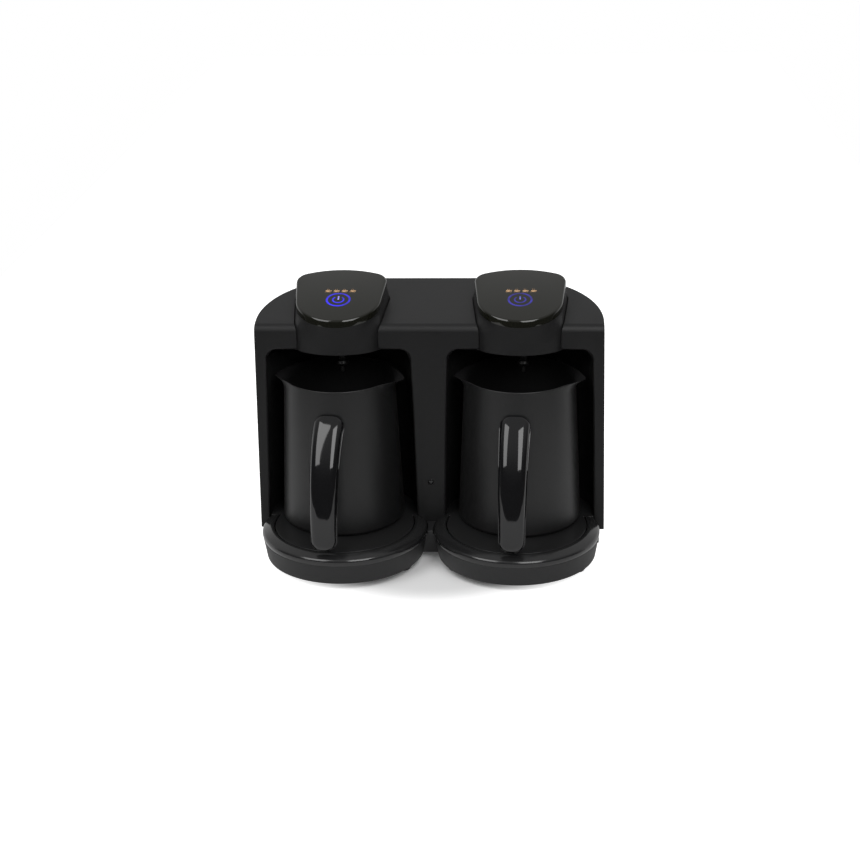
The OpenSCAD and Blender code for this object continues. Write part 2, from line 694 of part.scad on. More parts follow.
module handle_root() {
    translate([-big/2, -(pot_rim_r + 2.6), -big/2]) cube([big, big, big]);
}

// Gloss front half of the handle.
module handle_grip(s) color([0.04, 0.04, 0.04]) pot_place(s) difference() {
    handle_sweep(grip_t);
    handle_root();
}

// Rear half of the handle, closed against the front half.
module handle_liner(s) color([0.08, 0.08, 0.08]) pot_place(s) difference() {
    handle_sweep(-liner_t);
    handle_root();
}

// Steel pad on the vessel that the handle's root is screwed to.
module handle_bracket(s) color([0.5, 0.5, 0.5]) pot_place(s) difference() {
    translate([-6.5, -(pot_rim_r + 2.6), handle_top_z - 14]) cube([13, 12, 14]);
    cylinder(h = pot_h, r1 = pot_foot_r + seat, r2 = pot_rim_r + seat, $fn = 360);
}

housing();
bay_liner(LEFT);  // bay_liner_left
bay_liner(RIGHT);  // bay_liner_right
rear_cover();
cord_inlet();
power_board();
base_tray();
bottom_cover();
foot(-disc_x + foot_side, disc_y - foot_lead);  // foot_front_left
foot(disc_x - foot_side, disc_y - foot_lead);  // foot_front_right
foot(-disc_x - foot_side, disc_y - foot_lead);  // foot_side_left
foot(disc_x + foot_side, disc_y - foot_lead);  // foot_side_right
foot(-100, back_y - 30);  // foot_rear_left
foot(100, back_y - 30);  // foot_rear_right
base_ring(LEFT);  // base_ring_left
base_ring(RIGHT);  // base_ring_right
base_deck(LEFT);  // base_deck_left
base_deck(RIGHT);  // base_deck_right
hot_plate(LEFT);  // hot_plate_left
hot_plate(RIGHT);  // hot_plate_right
plate_seal(LEFT);  // plate_seal_left
plate_seal(RIGHT);  // plate_seal_right
heater(LEFT);  // heater_left
heater(RIGHT);  // heater_right
thermostat(LEFT);  // thermostat_left
thermostat(RIGHT);  // thermostat_right
head_shell(LEFT);  // head_shell_left
head_shell(RIGHT);  // head_shell_right
head_lid(LEFT);  // head_lid_left
head_lid(RIGHT);  // head_lid_right
light_ring(LEFT);  // light_ring_left
light_ring(RIGHT);  // light_ring_right
touch_board(LEFT);  // touch_board_left
touch_board(RIGHT);  // touch_board_right
head_underside(LEFT);  // head_underside_left
head_underside(RIGHT);  // head_underside_right
probe(LEFT);  // probe_left
probe(RIGHT);  // probe_right
probe_collar(LEFT);  // probe_collar_left
probe_collar(RIGHT);  // probe_collar_right
pot_vessel(LEFT);  // pot_vessel_left
pot_vessel(RIGHT);  // pot_vessel_right
pot_base(LEFT);  // pot_base_left
pot_base(RIGHT);  // pot_base_right
handle_bracket(LEFT);  // handle_bracket_left
handle_bracket(RIGHT);  // handle_bracket_right
handle_grip(LEFT);  // handle_grip_left
handle_grip(RIGHT);  // handle_grip_right
handle_liner(LEFT);  // handle_liner_left
handle_liner(RIGHT);  // handle_liner_right
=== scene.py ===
# %% [markdown]
# # A twin Turkish coffee maker
#
# The machine is one wide housing with two bays. Over each bay sits a head with a gloss touch lid
# and a sensor probe, and in front of each bay a round heated base carries a loose pot with a
# hanging handle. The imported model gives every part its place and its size. This lesson loads it,
# softens the edges of the flat mouldings, and models the pieces that catch the light again: head
# walls, lids, touch keys, gloss rings, probes, pots and handles.
#
# Numbers are in millimetres, as on a maker's drawing. Blender wants metres, so a value on its way
# into a mesh is multiplied by MM.

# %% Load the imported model
import json
import math

import bmesh
import bpy
from mathutils import Matrix, Quaternion, Vector

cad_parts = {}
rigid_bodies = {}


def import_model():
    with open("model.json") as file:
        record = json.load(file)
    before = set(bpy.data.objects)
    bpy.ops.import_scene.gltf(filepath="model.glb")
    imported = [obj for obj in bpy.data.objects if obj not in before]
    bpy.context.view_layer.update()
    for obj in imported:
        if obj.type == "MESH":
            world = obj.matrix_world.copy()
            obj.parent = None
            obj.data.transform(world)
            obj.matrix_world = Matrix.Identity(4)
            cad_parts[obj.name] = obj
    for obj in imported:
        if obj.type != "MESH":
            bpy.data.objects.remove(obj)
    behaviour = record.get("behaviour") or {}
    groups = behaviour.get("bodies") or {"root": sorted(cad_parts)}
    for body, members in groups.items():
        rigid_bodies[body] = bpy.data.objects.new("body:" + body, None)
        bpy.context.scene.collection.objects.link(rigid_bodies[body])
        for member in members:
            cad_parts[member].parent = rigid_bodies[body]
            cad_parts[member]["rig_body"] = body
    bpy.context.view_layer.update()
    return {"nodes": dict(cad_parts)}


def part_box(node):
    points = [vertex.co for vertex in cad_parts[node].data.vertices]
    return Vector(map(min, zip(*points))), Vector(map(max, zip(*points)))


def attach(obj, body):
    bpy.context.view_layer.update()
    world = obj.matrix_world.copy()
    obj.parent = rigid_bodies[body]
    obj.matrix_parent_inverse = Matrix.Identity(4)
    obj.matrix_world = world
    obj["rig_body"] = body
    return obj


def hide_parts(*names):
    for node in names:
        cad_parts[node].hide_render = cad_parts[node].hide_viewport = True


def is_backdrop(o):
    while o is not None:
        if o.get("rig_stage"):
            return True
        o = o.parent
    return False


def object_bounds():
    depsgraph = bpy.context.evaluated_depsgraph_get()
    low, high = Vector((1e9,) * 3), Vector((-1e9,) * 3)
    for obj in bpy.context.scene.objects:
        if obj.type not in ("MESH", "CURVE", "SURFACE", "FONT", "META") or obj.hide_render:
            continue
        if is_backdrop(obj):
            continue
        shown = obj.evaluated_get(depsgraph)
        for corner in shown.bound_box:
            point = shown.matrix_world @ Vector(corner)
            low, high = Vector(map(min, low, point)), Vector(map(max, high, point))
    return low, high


MM = 0.001

def in_mm(values):
    return [round(v/MM, 1) for v in values]

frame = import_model()

# %% [markdown]
# ## Places
#
# A new piece stays true to the frame when its place comes from the parts that are already there.
# Three places carry nearly everything: the flat front face of the housing, the upright axis
# through each pot, and the axis of each round base, which lies a little nearer to the middle.

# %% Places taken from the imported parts
SIDES = ("left", "right")
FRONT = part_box("housing")[0].y

def middle(node):
    low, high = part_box(node)
    return (low + high)/2

def pot_foot(side):
    plate = "hot_plate_" + side
    return Vector((middle(plate).x, middle(plate).y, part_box(plate)[1].z))

def base_axis(side):
    low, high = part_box("base_ring_" + side)
    return Vector(((low.x + high.x)/2, low.y + (high.x - low.x)/2, 0))

for side in SIDES:
    print(side, "pot stands at", in_mm(pot_foot(side)))

# %% [markdown]
# ## Camera
#
# The object is seen from a little above and a little to its right, through a long lens, so that
# upright walls stay almost parallel. The place and the angles are set as numbers, because a
# long lens forgives no drift. The shift is under one percent and only centres the frame.

# %% Camera
camera_place = Vector((0.0785, -1.2978, 0.6166))
camera_yaw = math.radians(-3.726)
camera_pitch = math.radians(21.776)
camera_roll = math.radians(-1.132)

def aim(place, yaw, pitch, roll):
    ahead = Vector((math.sin(yaw)*math.cos(pitch), math.cos(yaw)*math.cos(pitch), -math.sin(pitch)))
    right = ahead.cross(Vector((0, 0, 1))).normalized()
    up = right.cross(ahead)
    across = right*math.cos(roll) + up*math.sin(roll)
    upward = up*math.cos(roll) - right*math.sin(roll)
    turn = Matrix((across, upward, -ahead)).transposed().to_4x4()
    return Matrix.Translation(place) @ turn

lens = bpy.data.cameras.new("camera")
lens.lens = 71.504
lens.sensor_width = 36
lens.shift_x = 0.00797
lens.shift_y = 0.00838
lens.clip_end = 50
camera = bpy.data.objects.new("camera", lens)
camera.matrix_world = aim(camera_place, camera_yaw, camera_pitch, camera_roll)
bpy.context.scene.collection.objects.link(camera)
bpy.context.scene.camera = camera
print("camera distance in m:", round(camera_place.length, 3))

# %% [markdown]
# ## Materials
#
# Nearly everything is black, so the finishes differ in how they take the light: spark-eroded matt
# plastic, satin plastic, polished plastic, and the baked coating of the pots. One helper builds
# them all: a fine noise gives the grain as a bump, a broad noise shifts colour and roughness a
# little, as moulding and handling do. The patterns read Object coordinates, so they stay on the
# piece when it moves. How strongly a finish mirrors at all is one number on the shader.
#
# Small helpers for node trees come first. A socket takes either a number or another node's output,
# and fill tells the two apart.

# %% Helpers for node trees
def fill(tree, node, sockets):
    for socket, value in sockets.items():
        if isinstance(value, bpy.types.NodeSocket):
            tree.links.new(value, node.inputs[socket])
        else:
            node.inputs[socket].default_value = value

def add_node(tree, kind, sockets, **settings):
    node = tree.nodes.new("ShaderNode" + kind)
    for setting, value in settings.items():
        setattr(node, setting, value)
    fill(tree, node, sockets)
    return node

def new_material(name):
    made = bpy.data.materials.new(name)
    made.use_nodes = True
    return made, made.node_tree, made.node_tree.nodes["Principled BSDF"]

# %% A helper for finishes
broad_scale = 34

def finish(name, colour, roughness, grain=2500, depth=0.02, spread=0.04, tint=0.12, mirror=0.5,
           metal=0.0, stretch=(1, 1, 1)):
    made, tree, shader = new_material(name)
    place = add_node(tree, "TexCoord", {})
    turn = add_node(tree, "Mapping", {"Vector": place.outputs["Object"], "Scale": stretch})
    at = turn.outputs["Vector"]
    fine = add_node(tree, "TexNoise", {"Vector": at, "Scale": grain, "Detail": 3})
    broad = add_node(tree, "TexNoise", {"Vector": at, "Scale": broad_scale, "Detail": 5})
    bump = add_node(tree, "Bump", {
        "Height": fine.outputs["Fac"], "Strength": 0.5, "Distance": depth*MM})
    rough = add_node(tree, "MapRange", {
        "Value": broad.outputs["Fac"], "To Min": roughness - spread, "To Max": roughness + spread})
    shades = add_node(tree, "Mix", {
        "Factor": broad.outputs["Fac"],
        "A": [c*(1 - tint) for c in colour] + [1],
        "B": [min(1, c*(1 + tint)) for c in colour] + [1]}, data_type="RGBA")
    fill(tree, shader, {
        "Base Color": shades.outputs["Result"], "Roughness": rough.outputs["Result"],
        "Normal": bump.outputs["Normal"], "Specular IOR Level": mirror, "Metallic": metal})
    print("finish:", name, "roughness", roughness)
    return made

# %% Finishes of plastic, rubber and coating
matt_housing = finish("matt_housing", (0.0098, 0.0098, 0.0101), 0.44, grain=2600, depth=0.04,
                      mirror=0.22)
matt_base = finish("matt_base", (0.012, 0.012, 0.0125), 0.50, grain=2200, depth=0.05, mirror=0.35)
satin_liner = finish("satin_liner", (0.014, 0.014, 0.0143), 0.42, grain=1800, mirror=0.3)
satin_dark = finish("satin_dark", (0.004, 0.004, 0.0042), 0.40, grain=1800, mirror=0.25)
satin_deck = finish("satin_deck", (0.013, 0.013, 0.0133), 0.34, grain=1600, mirror=0.35)
gloss_black = finish("gloss_black", (0.004, 0.004, 0.0045), 0.06, grain=900, depth=0.002, spread=0.015)
lid_polish = finish("lid_polish", (0.0055, 0.0056, 0.0032), 0.05, grain=900, depth=0.002, spread=0.015)
ring_polish = finish("ring_polish", (0.012, 0.012, 0.0123), 0.15, grain=1200, depth=0.004, spread=0.02)
pot_coating = finish("pot_coating", (0.0085, 0.0085, 0.0088), 0.40, grain=1500, depth=0.03,
                     mirror=0.4, stretch=(1, 1, 0.5))
plate_coating = finish("plate_coating", (0.012, 0.012, 0.012), 0.45, grain=1500)
rubber = finish("rubber", (0.012, 0.012, 0.012), 0.62, grain=1400, depth=0.04)

# %% Finishes of metal, board and print
brushed = (1, 1, 8)
steel = finish("steel", (0.56, 0.56, 0.57), 0.30, grain=700, metal=1.0, stretch=brushed)
# Painted shade: a steel darkened far below real steel, for the probe tips and handle brackets that sit
# in shade.
shade_darkened_steel = finish("shade_darkened_steel", (0.10, 0.10, 0.10), 0.42, grain=700, metal=1.0, stretch=brushed)
aluminium = finish("aluminium", (0.66, 0.66, 0.67), 0.34, grain=900, metal=1.0)
circuit_board = finish("circuit_board", (0.01, 0.07, 0.025), 0.35, grain=600)
ceramic = finish("ceramic", (0.62, 0.60, 0.55), 0.25, grain=500)
copper_print = finish("copper_print", (0.50, 0.30, 0.15), 0.38, grain=1800, depth=0.004, tint=0.2)

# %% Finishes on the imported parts
worn_by = {
    "housing": matt_housing, "rear_cover": matt_housing, "head_shell": matt_housing,
    "bottom_cover": matt_base, "base_tray": matt_base, "bay_liner": satin_liner,
    "head_underside": satin_dark, "probe_collar": satin_dark, "handle_liner": satin_dark,
    "head_lid": lid_polish, "base_ring": ring_polish, "base_deck": satin_deck,
    "light_ring": gloss_black, "handle_grip": gloss_black, "hot_plate": plate_coating,
    "plate_seal": rubber, "foot": rubber, "cord_inlet": rubber, "power_board": circuit_board,
    "touch_board": circuit_board, "heater": steel, "thermostat": ceramic, "probe": shade_darkened_steel,
    "pot_vessel": pot_coating, "pot_base": aluminium, "handle_bracket": shade_darkened_steel}

def finish_of(node):
    return worn_by[max((k for k in worn_by if node.startswith(k)), key=len)]

for name, part in frame["nodes"].items():
    part.data.materials.clear()
    part.data.materials.append(finish_of(name))
print("dressed:", len(frame["nodes"]))

# %% [markdown]
# ## Helpers for every new piece
#
# Every new piece ends in the same way. Its mesh is shaded smooth with its sharp edges marked, and
# it gets its finish, the body that it rides on, and the imported parts that it stands for. One
# helper does all this, so no piece can miss a step.
# Normals that a copy of a imported part brings along no longer fit it, so they are taken off. The
# other helpers are short names for bmesh operators that come back again and again.

# %% A helper that finishes a piece
def finished(name, shape, worn, stands_for=(), body="machine", limit=35):
    mesh = bpy.data.meshes.new(name)
    shape.to_mesh(mesh)
    shape.free()
    if "custom_normal" in mesh.attributes:
        mesh.attributes.remove(mesh.attributes["custom_normal"])
    mesh.shade_smooth()
    mesh.set_sharp_from_angle(angle=math.radians(limit))
    mesh.materials.append(worn)
    piece = bpy.data.objects.new(name, mesh)
    bpy.context.scene.collection.objects.link(piece)
    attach(piece, body)
    if stands_for:
        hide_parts(*stands_for)
    return piece

# %% Helpers for shapes
def whole(shape):
    return shape.verts[:] + shape.edges[:] + shape.faces[:]

def open_edges(shape):
    return [e for e in shape.edges if len(e.link_faces) == 1]

def face_outwards(shape):
    bmesh.ops.recalc_face_normals(shape, faces=shape.faces)

def bring(shape, matrix):
    bmesh.ops.transform(shape, matrix=matrix, verts=shape.verts)

def cut_beyond(shape, y):
    bmesh.ops.bisect_plane(shape, geom=whole(shape), plane_co=(0, y, 0), plane_no=(0, 1, 0),
                           clear_outer=True)

def add_to(shape, part):
    drawn = bpy.data.meshes.new("part")
    part.to_mesh(drawn)
    part.free()
    shape.from_mesh(drawn)
    bpy.data.meshes.remove(drawn)

# %% [markdown]
# ## Softened mouldings
#
# No moulding has knife edges: the tool rounds them by half a millimetre or so, and that rounding
# is what draws a thin light line round a black shape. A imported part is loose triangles, so a copy
# is merged and its flat faces are joined. Every edge sharper than a limit then gets a bevel
# weight, which is its share of the full rounding, and a Bevel modifier rounds by that weight.
# Hardened normals keep the large faces flat in the light.

# %% A helper for softened copies
sharp_angle = 28
flat_angle = 0.4
merge_within = 0.004

def full_share(place):
    return 1

def softened(node, width, segments=2, share_at=full_share):
    part = frame["nodes"][node]
    shape = bmesh.new()
    shape.from_mesh(part.data)
    bmesh.ops.remove_doubles(shape, verts=shape.verts, dist=merge_within*MM)
    bmesh.ops.dissolve_limit(shape, angle_limit=math.radians(flat_angle), verts=shape.verts,
                             edges=shape.edges)
    share = shape.edges.layers.float.new("bevel_weight_edge")
    for edge in shape.edges:
        if len(edge.link_faces) == 2 and edge.calc_face_angle() > math.radians(sharp_angle):
            edge[share] = share_at((edge.verts[0].co + edge.verts[1].co)/2)
    piece = finished(node + "_soft", shape, finish_of(node), [node],
                     body=part["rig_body"], limit=sharp_angle)
    round_off = piece.modifiers.new("rounded edges", "BEVEL")
    round_off.width = width*MM
    round_off.segments = segments
    round_off.limit_method = "WEIGHT"
    round_off.use_clamp_overlap = False
    round_off.harden_normals = True
    print(piece.name, "faces:", len(piece.data.polygons))
    return piece

# %% [markdown]
# ## The large mouldings
#
# The housing has three kinds of edges. The front edges of the two bay openings are rounded in
# full, by more than two millimetres. The edges of the small screw recess, and those just behind an
# opening, where the bay liner meets the housing, stay sharp, because a bevel there would open a
# gap. All others, such as those of the head openings, get a third of the rounding. The other
# mouldings have the same rounding on every edge.

# %% The large mouldings
opening_round, other_share = 2.2, 0.32
recess_half, recess_deep, recess_below = 5, 2.6, 100
bays_from, bays_to, liner_seam = 10, 136, 4
touching = 0.1
bay_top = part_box("head_shell_left")[0].z

def housing_share(place):
    behind = (place.y - FRONT)/MM
    beside = abs(place.x)/MM
    if beside < recess_half and behind < recess_deep and place.z < recess_below*MM:
        return 0
    if bays_from < beside < bays_to and place.z < bay_top + touching*MM and behind < liner_seam:
        return 1 if behind < touching else 0
    return other_share

softened("housing", opening_round, segments=5, share_at=housing_share)
edge_width = {"base_tray": 0.6, "rear_cover": 0.4, "bottom_cover": 0.3}
for side in SIDES:
    edge_width.update({"bay_liner_" + side: 0.5, "base_deck_" + side: 0.3,
                       "head_underside_" + side: 0.3, "handle_bracket_" + side: 0.5})
for node, width in edge_width.items():
    softened(node, width)

# %% [markdown]
# ## Turned pieces
#
# Rings, probes and pots are round. Each starts as the outline of one section, drawn as steps out
# from the axis and up, in millimetres. Its corners are rounded by a vertex bevel while it is still
# flat, because that is where a toolmaker draws the radius too. Spinning the outline gives the body.

# %% Helpers for turned pieces
def section(points):
    shape = bmesh.new()
    corners = [shape.verts.new((out*MM, 0, up*MM)) for out, up in points]
    shape.faces.new(corners)
    return shape, corners

def round_corners(shape, corners, width, segments=4):
    bmesh.ops.bevel(shape, geom=corners, offset=width*MM, affect="VERTICES", segments=segments,
                    profile=0.5, material=-1)

def spin_round(shape, steps=144):
    bmesh.ops.delete(shape, geom=shape.faces[:], context="FACES_ONLY")
    on_axis = [e for e in shape.edges if all(abs(v.co.x) < 0.001*MM for v in e.verts)]
    bmesh.ops.delete(shape, geom=on_axis, context="EDGES")
    bmesh.ops.spin(shape, geom=shape.verts[:] + shape.edges[:], cent=(0, 0, 0), axis=(0, 0, 1),
                   angle=math.tau, steps=steps, use_merge=True)
    bmesh.ops.remove_doubles(shape, verts=shape.verts, dist=0.002*MM)
    face_outwards(shape)

# %% [markdown]
# ## Gloss rings
#
# A polished ring lies on the front of each round base: an upright band, a soft shoulder, and a
# wide bevel up to a thin crest. A torus would be too round. The true section spun round the base's
# axis gives the flat bevel, and a cut just in front of the housing ends it where the real one ends.

# %% Gloss rings
ring_section = ((-0.8, 0), (0, 4.8), (-8.2, 8.3), (-10.2, 8.1),
                (-10.8, 5.4), (-8.6, 5.4), (-3, 2.4), (-3, 0))
shoulder_round = 2.2
crest_round = 1.2
thin_round = 0.3
ring_cut = FRONT - 0.3*MM

for side in SIDES:
    low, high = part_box("base_ring_" + side)
    ring_r = (high.x - low.x)/2/MM
    foot = low.z/MM
    shape, corners = section([(ring_r + out, foot + up) for out, up in ring_section])
    round_corners(shape, [corners[1]], shoulder_round, 7)
    round_corners(shape, [corners[2]], crest_round, 4)
    round_corners(shape, [corners[0], corners[3]], thin_round, 2)
    spin_round(shape, 216)
    bring(shape, Matrix.Translation(base_axis(side)))
    cut_beyond(shape, ring_cut)
    bmesh.ops.holes_fill(shape, edges=open_edges(shape))
    print("gloss ring", side, "radius in mm:", round(ring_r, 1), "open edges:", len(open_edges(shape)))
    finished("gloss_ring_" + side, shape, ring_polish, ["base_ring_" + side])

# %% [markdown]
# ## Head outline
#
# Seen from above, a head is four arcs on each side: curved front, front corner, rear corner and
# curved back. It is boxy where it leaves the housing and nearly a half circle under its lid, so
# the outline takes a share between the two. Each arc touches the next, so its turn follows from
# their centres. One vertex spun from arc to arc draws half of the outline, and Mirror gives the
# other half.

# %% Head outline
head_lead = 13.5
back_r = 78
boxy = {"front_r": 48, "front_w": 34.5, "nose_r": 16, "back": 64, "back_w": 38.6, "corner_r": 8}
rounder = {"front_r": 36, "front_w": 34.5, "nose_r": 33, "back": 62.8, "back_w": 37, "corner_r": 12}

def draw_arc(shape, start, centre, turn, steps):
    made = bmesh.ops.spin(shape, geom=[start], cent=(centre[0]*MM, centre[1]*MM, 0), axis=(0, 0, 1),
                          angle=turn, steps=steps)
    return made["geom_last"][0]

def corner_centre(arc_r, arc_y, half_w, corner_r, facing):
    across = half_w - corner_r
    return across, arc_y + facing*math.sqrt((arc_r - corner_r)**2 - across**2)

def head_outline(shape, share):
    mix = {key: boxy[key] + (rounder[key] - boxy[key])*share for key in boxy}
    front_c = (0, mix["front_r"] - head_lead)
    back_c = (0, mix["back"] - back_r)
    nose_c = corner_centre(mix["front_r"], front_c[1], mix["front_w"], mix["nose_r"], -1)
    corner_c = corner_centre(back_r, back_c[1], mix["back_w"], mix["corner_r"], 1)
    run = Vector(corner_c) - Vector(nose_c)
    nose_turn = math.atan2(nose_c[1] - front_c[1], nose_c[0])
    side_turn = math.atan2(run.y, run.x) - math.acos((mix["nose_r"] - mix["corner_r"])/run.length)
    corner_turn = math.atan2(corner_c[1] - back_c[1], corner_c[0])
    pen = shape.verts.new((0, -head_lead*MM, 0))
    pen = draw_arc(shape, pen, front_c, nose_turn + math.pi/2, 12)
    pen = draw_arc(shape, pen, nose_c, side_turn - nose_turn, 16)
    side_end = Vector(corner_c) + mix["corner_r"]*Vector((math.cos(side_turn), math.sin(side_turn)))
    pen = bmesh.ops.extrude_vert_indiv(shape, verts=[pen])["verts"][0]
    pen.co = (side_end.x*MM, side_end.y*MM, 0)
    pen = draw_arc(shape, pen, corner_c, corner_turn - side_turn, 10)
    draw_arc(shape, pen, back_c, math.pi/2 - corner_turn, 12)
    bmesh.ops.mirror(shape, geom=shape.verts[:] + shape.edges[:], matrix=Matrix(), merge_dist=0.01*MM,
                     axis="X")
    bmesh.ops.remove_doubles(shape, verts=shape.verts, dist=0.01*MM)

# %% [markdown]
# ## Head walls
#
# The wall of a head is one moulding that changes its outline as it rises. Stacked outlines joined
# by bridge_loops give such a wall. It keeps the boxy outline where it passes through the housing,
# and only above the housing's top, or in front of it, does it turn rounder, slowly at first and
# slowly at the end, so that it leaves and arrives upright. Solidify then gives it a wall.

# %% Heights of the head wall
lid_tilt = math.radians(15)
top_tilt = math.radians(10)
lid_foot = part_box("head_lid_left")[0].z/MM
seam_gap = 0.1
bay_ceiling = bay_top/MM
housing_top = 191
start_above = 1.5
bay_reach = 45
sunk = 4

def seam_height(back):
    return lid_foot - seam_gap + (back + head_lead)*math.tan(lid_tilt)

def turn_height(back):
    if back < 0:
        return bay_ceiling + start_above + (housing_top - bay_ceiling)*(back + head_lead)/head_lead
    return housing_top + start_above + back*math.tan(top_tilt)

def wall_foot(back):
    return bay_ceiling if back < bay_reach else turn_height(back) - sunk

def level_height(rise):
    return lambda back: turn_height(back)*(1 - rise) + seam_height(back)*rise

for back in (-head_lead, boxy["back"]):
    print("lid seam", back, "mm behind the front face:", round(seam_height(back), 1))

# %% Head walls
turning_levels = 8
head_wall = 2.2*MM

def stack(shape, share, height):
    level = bmesh.new()
    head_outline(level, share)
    for vert in level.verts:
        vert.co.z = height(vert.co.y/MM)*MM
    known = len(shape.edges)
    add_to(shape, level)
    shape.edges.ensure_lookup_table()
    return shape.edges[known:]

for side in SIDES:
    low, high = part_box("head_shell_" + side)
    shape = bmesh.new()
    loops = [stack(shape, 0, wall_foot)]
    for k in range(turning_levels + 1):
        rise = k/turning_levels
        share = rise*rise*(3 - 2*rise)
        loops.append(stack(shape, share, level_height(rise)))
    for lower, upper in zip(loops, loops[1:]):
        bmesh.ops.bridge_loops(shape, edges=lower + upper)
    face_outwards(shape)
    bmesh.ops.solidify(shape, geom=shape.faces[:], thickness=head_wall)
    face_outwards(shape)
    bring(shape, Matrix.Translation(((low.x + high.x)/2, FRONT, 0)))
    print("head wall", side, "faces:", len(shape.faces), "open edges:", len(open_edges(shape)))
    finished("head_wall_" + side, shape, matt_housing,
             ["head_shell_" + side])

# %% [markdown]
# ## Touch lids
#
# The lid is a thick polished plate on a slope, in the rounder outline. The filled outline is
# extruded, and its upper edge gets a wide round, which catches the light as a thin line. A pocket
# from below leaves room for the touch board. A shear then lays the plate on its slope and keeps
# its walls upright.

# %% Touch lids
lid_thick = 5.5*MM
lid_round = 1.8*MM
lid_rim = 3.2*MM
pocket_deep = 3*MM
slope = math.tan(lid_tilt)
lean = Matrix(((1, 0, 0, 0),
               (0, 1, 0, 0),
               (0, slope, 1/math.cos(lid_tilt), head_lead*slope*MM),
               (0, 0, 0, 1)))

for side in SIDES:
    low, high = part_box("head_lid_" + side)
    shape = bmesh.new()
    head_outline(shape, 1)
    base = bmesh.ops.contextual_create(shape, geom=shape.edges[:])["faces"]
    raised = bmesh.ops.extrude_face_region(shape, geom=base, use_keep_orig=True)["geom"]
    top = [g for g in raised if isinstance(g, bmesh.types.BMFace)][0]
    bmesh.ops.translate(shape, vec=(0, 0, lid_thick), verts=top.verts[:])
    bmesh.ops.bevel(shape, geom=top.edges[:], offset=lid_round, affect="EDGES", segments=5, profile=0.5,
                    material=-1)
    under = min(shape.faces, key=lambda f: f.calc_center_median().z)
    bmesh.ops.inset_region(shape, faces=[under], thickness=lid_rim)
    pocket = bmesh.ops.extrude_discrete_faces(shape, faces=[under])["faces"][0]
    bmesh.ops.translate(shape, vec=(0, 0, pocket_deep), verts=pocket.verts[:])
    bring(shape, Matrix.Translation(((low.x + high.x)/2, FRONT, low.z)) @ lean)
    bmesh.ops.remove_doubles(shape, verts=shape.verts, dist=0.002*MM)
    face_outwards(shape)
    print("lid", side, "faces:", len(shape.faces), "open edges:", len(open_edges(shape)))
    finished("touch_lid_" + side, shape, lid_polish, ["head_lid_" + side])

# %% [markdown]
# ## Touch keys and marks
#
# Under the lid lies a light guide: a ring round the key and the usual sign for switching on and
# off inside it, an open arc with a stroke. Above it four small cup marks count the cups. All are
# flat, so they are drawn as flat faces, thickened with Solidify and sunk in the lid until they
# stand a few hundredths of a millimetre proud, as a print does. The light glows unevenly, because
# small lamps sit behind it, so a noise mixes a dim and a bright blue. It is brighter towards the
# front, and the right key is the dimmer one.

# %% Lit finishes
key_r = 10
lamp_patches = 130
front_gain = 0.16
dim_below, bright_above = 0.38, 0.58

def glow(name, dim, bright, side):
    made, tree, shader = new_material(name)
    place = add_node(tree, "TexCoord", {}).outputs["Object"]
    patches = add_node(tree, "TexNoise", {"Vector": place, "Scale": lamp_patches})
    parts = add_node(tree, "SeparateXYZ", {"Vector": place})
    key_y = middle("light_ring_" + side).y
    near = add_node(tree, "MapRange", {
        "Value": parts.outputs["Y"], "From Min": key_y - key_r*MM, "From Max": key_y + key_r*MM,
        "To Min": front_gain, "To Max": -front_gain})
    level = add_node(tree, "Math", {0: patches.outputs["Fac"], 1: near.outputs["Result"]})
    tones = add_node(tree, "ValToRGB", {"Fac": level.outputs["Value"]})
    ends = ((dim_below, dim), (bright_above, bright))
    for element, (position, colour) in zip(tones.color_ramp.elements, ends):
        element.position = position
        element.color = (*colour, 1)
    fill(tree, shader, {
        "Base Color": (0.004, 0.004, 0.01, 1), "Roughness": 0.12,
        "Emission Color": tones.outputs["Color"], "Emission Strength": 1})
    return made

ring_light = {"left": glow("ring_light_left", (0.02, 0.012, 0.40), (0.03, 0.02, 1.0), "left"),
              "right": glow("ring_light_right", (0.015, 0.01, 0.15), (0.03, 0.022, 0.36), "right")}
stroke_light = {"left": glow("stroke_light_left", (0.10, 0.08, 0.9), (0.75, 0.72, 1.0), "left"),
                "right": glow("stroke_light_right", (0.05, 0.05, 0.4), (0.28, 0.32, 0.75), "right")}
print("lit finishes:", len(ring_light) + len(stroke_light))

# %% Helpers for flat marks
mark_thick = 0.3*MM
mark_top = 0.24*MM

def flat_arc(shape, inner, outer, start, sweep, steps):
    at = Vector((math.cos(start), math.sin(start), 0))
    ends = [shape.verts.new(at*r*MM) for r in (inner, outer)]
    edge = shape.edges.new(ends)
    bmesh.ops.spin(shape, geom=ends + [edge], cent=(0, 0, 0), axis=(0, 0, 1), angle=sweep, steps=steps,
                   use_merge=sweep == math.tau)

def flat_bar(shape, x, y, width, height):
    fit = Matrix.Translation((x*MM, y*MM, 0)) @ Matrix.Diagonal((width*MM, height*MM, 1, 1))
    bmesh.ops.create_grid(shape, x_segments=1, y_segments=1, size=0.5, matrix=fit)

def on_lid(side):
    return Matrix.Translation(middle("light_ring_" + side)) @ Matrix.Rotation(lid_tilt, 4, "X")

def mark(name, side, shape, worn, stands_for=()):
    face_outwards(shape)
    bmesh.ops.solidify(shape, geom=shape.faces[:], thickness=mark_thick)
    top = max(v.co.z for v in shape.verts)
    bring(shape, Matrix.Translation((0, 0, mark_top - top)))
    face_outwards(shape)
    bring(shape, on_lid(side))
    print(name, side, "faces:", len(shape.faces))
    finished(name + "_" + side, shape, worn, stands_for)

# %% Touch keys
ring_inner = 8.4
sign_inner, sign_outer = 3.8, 5.0
sign_start, sign_sweep = math.radians(128), math.radians(284)
stroke_up, stroke_wide, stroke_long = 2.6, 1.2, 5

